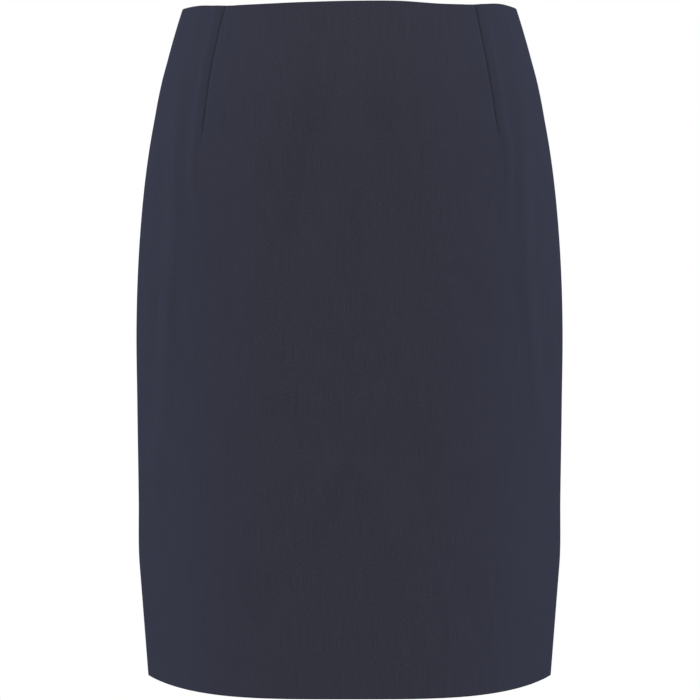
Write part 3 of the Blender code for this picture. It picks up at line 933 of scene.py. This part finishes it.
def strands(name, made, material, slot="suiting"):
    """A piece from one or more closed tubes."""
    starts = np.cumsum([0] + [len(points) for points, _ in made])
    points = np.concatenate([points for points, _ in made])
    faces = np.concatenate([faces + start for (_, faces), start in zip(made, starts)])
    return solid(name, points, faces, material, slot, sharp=STRAND_SHARP)


def slider_outline():
    """The slider's body: two round shoulders at its head, and narrower at its foot."""
    head, foot, half = SLIDER_HEAD_WIDTH / 2, SLIDER_FOOT_WIDTH / 2, SLIDER_LENGTH / 2
    shares = np.linspace(0, 1, SLIDER_SIDE_POINTS)[1:-1]
    side = [(-half + SLIDER_LENGTH * k, head + (foot - head) * ease(k)) for k in shares]
    shares = np.linspace(0, NOTCH_SHARE, NOTCH_POINTS)
    notch = [(-half + SLIDER_NOTCH * math.cos(math.pi * k / 2) ** 2, head * k) for k in shares]
    right = notch + [(-half, head * SHOULDER_SHARE)] + side + [(half, foot * k) for k in FOOT_SHARES]
    mirrored = [(a, -b) for a, b in right[:0:-1]]
    return np.array(right + [(half, 0.0)] + mirrored)[::-1]


def zip_tapes(material):
    for name, side in (("zip_tape_left", 1), ("zip_tape_right", -1)):
        tape = link(name + "_weave", tape_mesh(name + "_weave", side), material)
        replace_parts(tape, name)


def zip_coils(material):
    for name, side in (("zip_coil_left", 1), ("zip_coil_right", -1)):
        wire = tube(coil_path(side), COIL_UP, COIL_WIRE)
        strands(name, [wire], material, "zip_tape")


def zip_slider(material):
    """The slider's body, and the bridge that holds the tab by an eye."""
    body = plate(slider_outline(), SLIDER_FROM, SLIDER_TO, SLIDER_ROUND, zip_frame())
    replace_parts(solid("zip_slider_body", *body, material, METAL), "zip_slider")
    half = BRIDGE_LENGTH / 2
    ring = rounded_outline((-half, SLIDER_TO - BRIDGE_ROOT), (half, BRIDGE_OUT), BRIDGE_CORNER)
    eye = rounded_outline((-EYE_LENGTH / 2, EYE_FROM), (EYE_LENGTH / 2, EYE_TO), EYE_CORNER)
    thick = BRIDGE_THICK / 2
    origin, down, across, out = zip_frame()
    bridge = plate(ring, -thick, thick, BRIDGE_ROUND, (origin, down, out, across), eye)
    solid("zip_slider_bridge", *bridge, material, METAL)


def zip_pull(material):
    """The tab: a plate that widens towards its foot, with a window for the bridge."""
    origin, down, across, out = zip_frame()
    half = PULL_THICK / 2
    low, high = (-half, -PULL_FOOT_WIDTH / 2), (PULL_LENGTH - half, PULL_FOOT_WIDTH / 2)
    ring = rounded_outline(low, high, PULL_CORNER, PULL_CORNER_STEPS)
    taper = PULL_HEAD_WIDTH / PULL_FOOT_WIDTH
    ring[:, 1] *= taper + (1 - taper) * ease(ring[:, 0] / PULL_LENGTH)
    low, high = (half, -WINDOW_WIDTH / 2), (WINDOW_LENGTH, WINDOW_WIDTH / 2)
    window = rounded_outline(low, high, WINDOW_CORNER, PULL_CORNER_STEPS)
    axis = origin + down * PULL_AXIS_DOWN + out * PULL_AXIS_OUT
    points, faces = plate(ring, -half, half, PULL_ROUND, (axis, down, across, out), window)
    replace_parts(solid("zip_pull_tab", points, faces, material, METAL, body="zip_pull"), "zip_pull")


def zip_stops(material):
    """A clip over both coils at their foot, and one over each at its head."""
    coil = TAPE_UNDER + TAPE_WALL + COIL_LAYER
    for name, below, side, width, length in ZIP_STOPS:
        middle = side * tape_edge(below) + np.sign(side) * COIL_WIDTH / 2
        low, high = (-length / 2, middle - width / 2), (length / 2, middle + width / 2)
        ring = rounded_outline(low, high, STOP_CORNER)
        clip = plate(ring, -coil - STOP_WALL, STOP_WALL / 2 - TAPE_UNDER, STOP_ROUND, zip_frame(below))
        solid(name, *clip, material, METAL)


# ---- Threads ----

THREAD = 0.13  # its radius
THREAD_SIDES = 4
STITCH = 2.4
STITCH_POINTS = 6
STITCH_RISE = 0.16
OVERLOCK_WIDTH = 4.2
OVERLOCK_WRAP = 0.2  # past the raw edge
UPPER_LOOPER = 1.4  # over the cloth's face, as the next, in radii of the thread
NEEDLE_LIFT = 1.2
EDGE_END = 0.5  # how far rows of sewing stay from the ends of an edge
LEVEL_START = 0.4
LEVEL_END = 0.6
VENT_EDGE_DROP = 0.1
CATCH = 8.0  # from one catch of the hem to the next
CATCH_POINTS = 8
CATCH_START = 1.0
CATCH_END = 2.0
CATCH_REACH = 1.3
CATCH_BITE = 2.2  # how far each catch goes back over the edge, in reaches
CATCH_WIDTH = 0.16  # of the way between two catches
CATCH_LIFT = 2.6  # in radii of the thread
SEAM_THREAD = 0.27  # its radius
SEAM_INSIDE = 1.62  # the panel's plain outer face
BACK_SEAM_INSIDE = 1.3
SEAM_END = 2.0
SEAM_UNDER_ZIP = 6.0
SEAM_PAST_VENT = 0.4
SEAM_FOLLOW = 0.6  # at the vent's head the seam goes this share of the way in with the right back
DART_STITCH_OFF = 0.4
DART_STITCH_START = 1.5
TAPE_STITCHES = (3.9, 11.2)  # across the tape
TAPE_STITCH_END = 1.0
VENT_STITCH_BELOW = 411.0


def stepped(start, end, step=STITCH / STITCH_POINTS):
    return np.arange(start, end, step)


def laid_thread(panel, side, along, below, lift):
    """A thread over the cloth's inner face."""
    _, inner, inward = wall(panel, side, along, below)
    path = inner + inward * np.broadcast_to(lift, inner.shape[:1])[:, None]
    return tube(path, inward, THREAD, THREAD_SIDES)


def stitch_lift(count):
    """A lockstitch shows between the places where it sinks into the cloth."""
    return STITCH_RISE * np.cos(np.arange(count) * math.tau / STITCH_POINTS)


def overlock(panel, side, along, below, reach):
    """Two loopers in zigzags over a raw edge, and the needle's line, at places along the edge. reach is
    the unit step into the cloth: along, and below."""
    along, below = np.broadcast_arrays(along, below)
    turn = np.arange(len(along)) * math.tau / STITCH_POINTS
    made = []
    for phase, lift in ((turn, THREAD), (turn + math.pi, UPPER_LOOPER * THREAD)):
        into = (OVERLOCK_WIDTH + OVERLOCK_WRAP) * (1 - np.cos(phase)) / 2 - OVERLOCK_WRAP
        made.append(laid_thread(panel, side, along + reach[0] * into, below + reach[1] * into, lift))
    needle = (along + reach[0] * OVERLOCK_WIDTH, below + reach[1] * OVERLOCK_WIDTH)
    made.append(laid_thread(panel, side, *needle, NEEDLE_LIFT * THREAD + stitch_lift(len(along)) / 2))
    return made


def level_edges(panel, side, start):
    """Overlock along the waist's turned edge and the hem's."""
    made = []
    waist_start = max(start, NECK_GAP / 2 if panel == "back" else 0.0)
    for below, from_centre, reach in ((WAIST_TURN, waist_start, -1), (HEM_EDGE, start, 1)):
        along = stepped(from_centre + LEVEL_START, quarter(panel, below) - LEVEL_END)
        made += overlock(panel, side, along, below, (0, reach))
    return made


def side_edge(panel, side):
    below = stepped(WAIST_TURN + EDGE_END, HEM_EDGE - EDGE_END)
    return overlock(panel, side, quarter(panel, below) - ALLOWANCE, below, (1, 0))


def catches(panel, side, start):
    """The thread that catches the hem's edge to the panel every few millimetres."""
    along = stepped(start + CATCH_START, quarter(panel, HEM_EDGE) - CATCH_END, CATCH / CATCH_POINTS)
    turn = np.arange(len(along)) / CATCH_POINTS % 1
    bite = CATCH_BITE * bell((turn - 0.5) / CATCH_WIDTH)
    return laid_thread(panel, side, along, HEM_EDGE + CATCH_REACH * (1 - bite), CATCH_LIFT * THREAD)


def dart_stitches(panel, side):
    below = stepped(DART_STITCH_START, dart_of(panel, side).length)
    along = dart_along(panel, side, below) + DART_STITCH_OFF
    return laid_thread(panel, side, along, below, stitch_lift(len(below)))


def half_threads(panel, side, start):
    """The sewing that every half of a panel has, from a start at the centre or on the underlap."""
    made = side_edge(panel, side) + level_edges(panel, side, start)
    return made + [catches(panel, side, start), dart_stitches(panel, side)]


def front_threads(material):
    made = half_threads("front", -1, 0.0) + half_threads("front", 1, 0.0)
    return strands("front_threads", made, material)


def back_threads(name, side, material):
    """The left's facing and the right's underlap have raw edges of their own."""
    edge = partial(overlock, "back", side)
    made = half_threads("back", side, 0.0 if side > 0 else -UNDERLAP)
    made += edge(ALLOWANCE, stepped(WAIST_TURN + EDGE_END, VENT_TOP - EDGE_END), (-1, 0))
    if side > 0:
        made += edge(FACING, stepped(VENT_TOP + EDGE_END, HEM_EDGE - EDGE_END), (-1, 0))
        made += edge(stepped(ALLOWANCE, FACING), VENT_TOP + VENT_EDGE_DROP, (0, 1))
    else:
        made += edge(-UNDERLAP, stepped(VENT_FULL + EDGE_END, HEM_EDGE - EDGE_END), (1, 0))
        along = stepped(1.0 - UNDERLAP, -EDGE_END)
        made += edge(along, VENT_FULL + VENT_EDGE_DROP, (0, 1))
        made.append(laid_thread("back", side, along, VENT_STITCH_BELOW, stitch_lift(len(along))))
    return strands(name, made, material)


def seam_threads(material):
    """What shows of the stitching down in the side seams and the centre back seam."""
    runs = [("front", side, SEAM_END, LENGTH - SEAM_END, SEAM_INSIDE) for side in (-1, 1)]
    runs.append(("back", 1, ZIP_FOOT - SEAM_UNDER_ZIP, VENT_FULL + SEAM_PAST_VENT, BACK_SEAM_INSIDE))
    made = []
    for panel, side, top, foot, inside in runs:
        below = stepped(top, foot)
        along = quarter(panel, below) if panel == "front" else np.zeros_like(below)
        point, outward = place(panel, side, along, below)
        if panel == "front":
            outward = np.broadcast_to((side, 0.0, 0.0), point.shape)
        depth = inside + SEAM_FOLLOW * sink(along, below)
        radius = SEAM_THREAD + stitch_lift(len(below)) / 4
        made.append(tube(point - outward * depth[:, None], outward, radius))
    strands("seam_threads", made, material)


def zip_threads(material):
    """The two rows that hold each tape."""
    below = stepped(TAPE_HEAD + TAPE_STITCH_END, ZIP_FOOT - TAPE_STITCH_END)
    made = []
    for side in (-1, 1):
        for across in TAPE_STITCHES:
            along = tape_edge(below) + across
            path = on_zip(side, along, below, TAPE_UNDER + TAPE_WALL + stitch_lift(len(below)))
            _, outward = place("back", side, along, below)
            made.append(tube(path, outward, THREAD, THREAD_SIDES))
    strands("zip_threads", made, material, "zip_tape")


# ---- Materials ----


class Finish:
    """A material's nodes. Its shader's plain values are set on its own sockets."""

    def __init__(self, name, **values):
        self.material = bpy.data.materials.new(name)
        self.material.use_nodes = True
        self.tree = self.material.node_tree
        self.shader = self.tree.nodes["Principled BSDF"]
        for socket, value in values.items():
            self.feed(self.shader.inputs[socket.replace("_", " ")], value)

    def feed(self, socket, value):
        if isinstance(value, bpy.types.NodeSocket):
            self.tree.links.new(value, socket)
        elif socket.type == "RGBA":
            socket.default_value = (*value, 1)
        else:
            socket.default_value = value

    def add(self, kind, inputs, output=0, **settings):
        """A node's output, from its kind, its inputs by name or number and its settings."""
        node = self.tree.nodes.new("ShaderNode" + kind)
        for setting, value in settings.items():
            setattr(node, setting, value)
        for socket, value in inputs.items():
            self.feed(node.inputs[socket], value)
        return node.outputs[output]

    def math(self, operation, *values):
        return self.add("Math", dict(enumerate(values)), operation=operation)

    def total(self, *terms):
        """The sum of each value times its weight."""
        result = 0.0
        for value, weight in terms:
            result = self.math("MULTIPLY_ADD", value, weight, result)
        return result

    def wave(self, place, pitch):
        return self.math("SINE", self.math("MULTIPLY", place, math.tau / pitch))

    def cloth_place(self):
        """The place on the flat cloth, across and up, in metres."""
        mapped = self.add("UVMap", {}, uv_map="cloth")
        return self.add("SeparateXYZ", {0: mapped}).node.outputs[:2]

    def noise(self, place, scale=1.0, detail=2.0):
        return self.add("TexNoise", {"Vector": place, "Scale": scale, "Detail": detail}, output="Fac")

    def stretched(self, u, v, across, up):
        """A place with so many units for each metre across and up."""
        across, up = self.math("MULTIPLY", u, across), self.math("MULTIPLY", v, up)
        return self.add("CombineXYZ", {0: across, 1: up})

    def object_place(self):
        return self.add("TexCoord", {}, output="Object")

    def color(self, factor, dark, light):
        mixed = self.add("Mix", {0: factor, 6: dark, 7: light}, output=2, data_type="RGBA")
        self.feed(self.shader.inputs["Base Color"], mixed)

    def roughness(self, factor, low, high):
        spread = self.add("MapRange", {"Value": factor, "To Min": low, "To Max": high})
        self.feed(self.shader.inputs["Roughness"], spread)

    def bump(self, height, depth):
        inputs = {"Height": height, "Distance": depth, "Strength": 1.0}
        self.feed(self.shader.inputs["Normal"], self.add("Bump", inputs))


def suiting_finish():
    """Dark navy worsted, quite matte: a fine twill with faint streaks down its warp, a cool sheen, and
    painted shade along its waist and hem edges.
    """
    soft = {"Sheen_Weight": 0.004, "Sheen_Roughness": 0.5, "Sheen_Tint": SHEEN}
    made = Finish("suiting", Specular_IOR_Level=0.0, **soft)
    u, v = made.cloth_place()
    warp, weft = made.wave(u, WARP_PITCH), made.wave(v, WEFT_PITCH)
    slant = made.total((u, 1 / TWILL_REPEAT / WARP_PITCH), (v, 1 / TWILL_REPEAT / WEFT_PITCH))
    twill = made.wave(slant, 1.0)
    streak = made.noise(made.stretched(u, v, across=1100, up=26), detail=3.0)
    cloud = made.noise(made.stretched(u, v, across=30, up=18))
    middle = LENGTH / 2 * MM
    # Painted shade: the tone is darkened over the last millimetres at the waist and hem edges
    from_middle = made.math("ABSOLUTE", made.math("ADD", v, middle))
    edge_shade_band = {"Value": from_middle, "From Min": middle - EDGE_SHADE_WIDTH * MM, "From Max": middle}
    pressed = made.add("MapRange", edge_shade_band)
    tone = made.total((twill, 0.16), (streak, 0.6), (cloud, 0.1), (pressed, -0.7))
    made.color(made.math("ADD", tone, PLAIN_TONE), SUITING_DARK, SUITING_LIGHT)
    made.roughness(streak, low=0.72, high=0.92)
    made.bump(made.total((twill, 0.6), (warp, 0.3), (weft, 0.2), (streak, 0.4)), depth=WEAVE_DEPTH)
    return made.material


def tape_finish():
    """Woven polyester, its twill turned about every few threads into a herringbone."""
    made = Finish("zip_tape", Specular_IOR_Level=0.35)
    u, v = made.cloth_place()
    turned_back = made.math("PINGPONG", u, HERRINGBONE)
    twill = made.wave(made.math("ADD", turned_back, v), TAPE_TWILL)
    threads = made.wave(u, TAPE_THREAD)
    fuzz = made.noise(made.stretched(u, v, across=2500, up=2500))
    made.color(made.total((twill, 0.3), (fuzz, 0.9)), TAPE_DARK, TAPE_LIGHT)
    made.roughness(fuzz, low=0.6, high=0.85)
    made.bump(made.total((twill, 0.7), (threads, 0.4)), depth=WEAVE_DEPTH)
    return made.material


def enamel_finish():
    """Navy enamel on the slider, tab and stops, thinner where edges rub."""
    made = Finish("zip_enamel", Specular_IOR_Level=0.4, Coat_Weight=0.12, Coat_Roughness=0.3)
    orange_peel = made.noise(made.object_place(), scale=1400.0)
    sharpness = made.add("NewGeometry", {}, output="Pointiness")
    worn = made.add("MapRange", {"Value": sharpness, "From Min": WEAR_FROM, "From Max": WEAR_FULL})
    wear = made.math("MULTIPLY", worn, made.noise(made.object_place(), scale=2600.0, detail=3.0))
    made.color(wear, ENAMEL, ENAMEL_WORN)
    made.feed(made.shader.inputs["Metallic"], made.math("MULTIPLY", wear, WORN_METALLIC))
    made.roughness(orange_peel, low=0.38, high=0.55)
    made.bump(orange_peel, depth=PEEL_DEPTH)
    return made.material


def mottled(name, scale, dark, light, low, high, **values):
    """A plain finish, whose colour and roughness go up together from place to place."""
    made = Finish(name, **values)
    cloud = made.noise(made.object_place(), scale)
    made.color(cloud, dark, light)
    made.roughness(cloud, low, high)
    return made.material


def coil_finish():
    """Dyed nylon wire, clear enough to shine a little."""
    clear = {"Specular_IOR_Level": 0.5, "Coat_Weight": 0.15, "Coat_Roughness": 0.3}
    return mottled("zip_coil", 900.0, COIL_DARK, COIL_LIGHT, low=0.3, high=0.5, **clear)


def thread_finish():
    """Spun polyester thread, a shade off the cloth."""
    soft = {"Specular_IOR_Level": 0.3, "Sheen_Weight": 0.05, "Sheen_Tint": SHEEN}
    return mottled("thread", 3000.0, THREAD_DARK, THREAD_LIGHT, low=0.6, high=0.85, **soft)


def floor_finish():
    return mottled("floor", 3.0, FLOOR_DARK, FLOOR_LIGHT, low=0.8, high=0.95)


# ---- Studio ----

CAMERA_AT = (0.0004, -1.712, -0.2873)
CAMERA_LENS = 101.05
CAMERA_SENSOR = 36
FLOOR_BELOW = 1.02
FLOOR_RADIUS = 2.0
FLOOR_SIDES = 96
AIM = (0.0, 0.0, -0.29)
LAMP_DISTANCE = 2.6
LAMP_SIZE = (0.9, 1.4)
WORLD_LIGHT = 0.4  # as it lights the cloth; the camera sees it white

# Azimuths from the camera's side, elevations in degrees, and watts, for lamps in pairs
LAMPS = table(
    "name azimuth elevation power color",
    ("front", 60, 35, 52.4, (1.0, 0.95, 0.9)),
    ("side", 90, 35, 32.6, (0.29, 0.55, 1.0)),
    ("back", 160, 12, 26, (1.0, 0.94, 0.86)),
)


def camera():
    data = bpy.data.cameras.new("camera")
    data.sensor_width = CAMERA_SENSOR
    data.lens = CAMERA_LENS
    thing = add_object("camera", data)
    thing.location = CAMERA_AT
    thing.rotation_euler = (math.pi / 2, 0, 0)
    bpy.context.scene.camera = thing


def lamps():
    for pair in LAMPS:
        for side in (-1, 1):
            data = bpy.data.lights.new(f"{pair.name}_{side}", "AREA")
            data.shape = "RECTANGLE"
            data.size, data.size_y = LAMP_SIZE
            data.energy = pair.power
            data.color = pair.color
            thing = add_object(data.name, data)
            azimuth, elevation = math.radians(side * pair.azimuth), math.radians(pair.elevation)
            level = math.cos(elevation)
            away = Vector((math.sin(azimuth) * level, -math.cos(azimuth) * level, math.sin(elevation)))
            thing.location = Vector(AIM) + away * LAMP_DISTANCE
            thing.rotation_euler = away.to_track_quat("Z", "Y").to_euler()


def world():
    """White behind the skirt, and a dimmer white light from all round."""
    made = bpy.data.worlds.new("studio")
    made.use_nodes = True
    nodes, links = made.node_tree.nodes, made.node_tree.links
    background = nodes["Background"]
    background.inputs["Color"].default_value = (1, 1, 1, 1)
    path = nodes.new("ShaderNodeLightPath")
    strength = nodes.new("ShaderNodeMapRange")
    strength.inputs["To Min"].default_value = WORLD_LIGHT
    strength.inputs["To Max"].default_value = 1.0
    links.new(path.outputs["Is Camera Ray"], strength.inputs["Value"])
    links.new(strength.outputs["Result"], background.inputs["Strength"])
    bpy.context.scene.world = made
    bpy.context.scene.view_settings.view_transform = "Standard"


def floor():
    turn = np.arange(FLOOR_SIDES) * math.tau / FLOOR_SIDES
    ring = [(FLOOR_RADIUS * math.cos(t), FLOOR_RADIUS * math.sin(t), -FLOOR_BELOW) for t in turn]
    data = bpy.data.meshes.new("floor")
    data.from_pydata(ring, [], [range(FLOOR_SIDES)])
    data.materials.append(floor_finish())
    thing = add_object("floor", data)


camera()
lamps()
world()
floor()

suiting, thread, enamel = suiting_finish(), thread_finish(), enamel_finish()
front = front_cloth(suiting)
left = back_left_cloth(suiting)
right = back_right_cloth(suiting)
zip_tapes(tape_finish())
zip_coils(coil_finish())
zip_slider(enamel)
zip_pull(enamel)
zip_stops(enamel)
front_sewing = front_threads(thread)
left_sewing = back_threads("back_left_threads", 1, thread)
right_sewing = back_threads("back_right_threads", -1, thread)
seam_threads(thread)
zip_threads(thread)
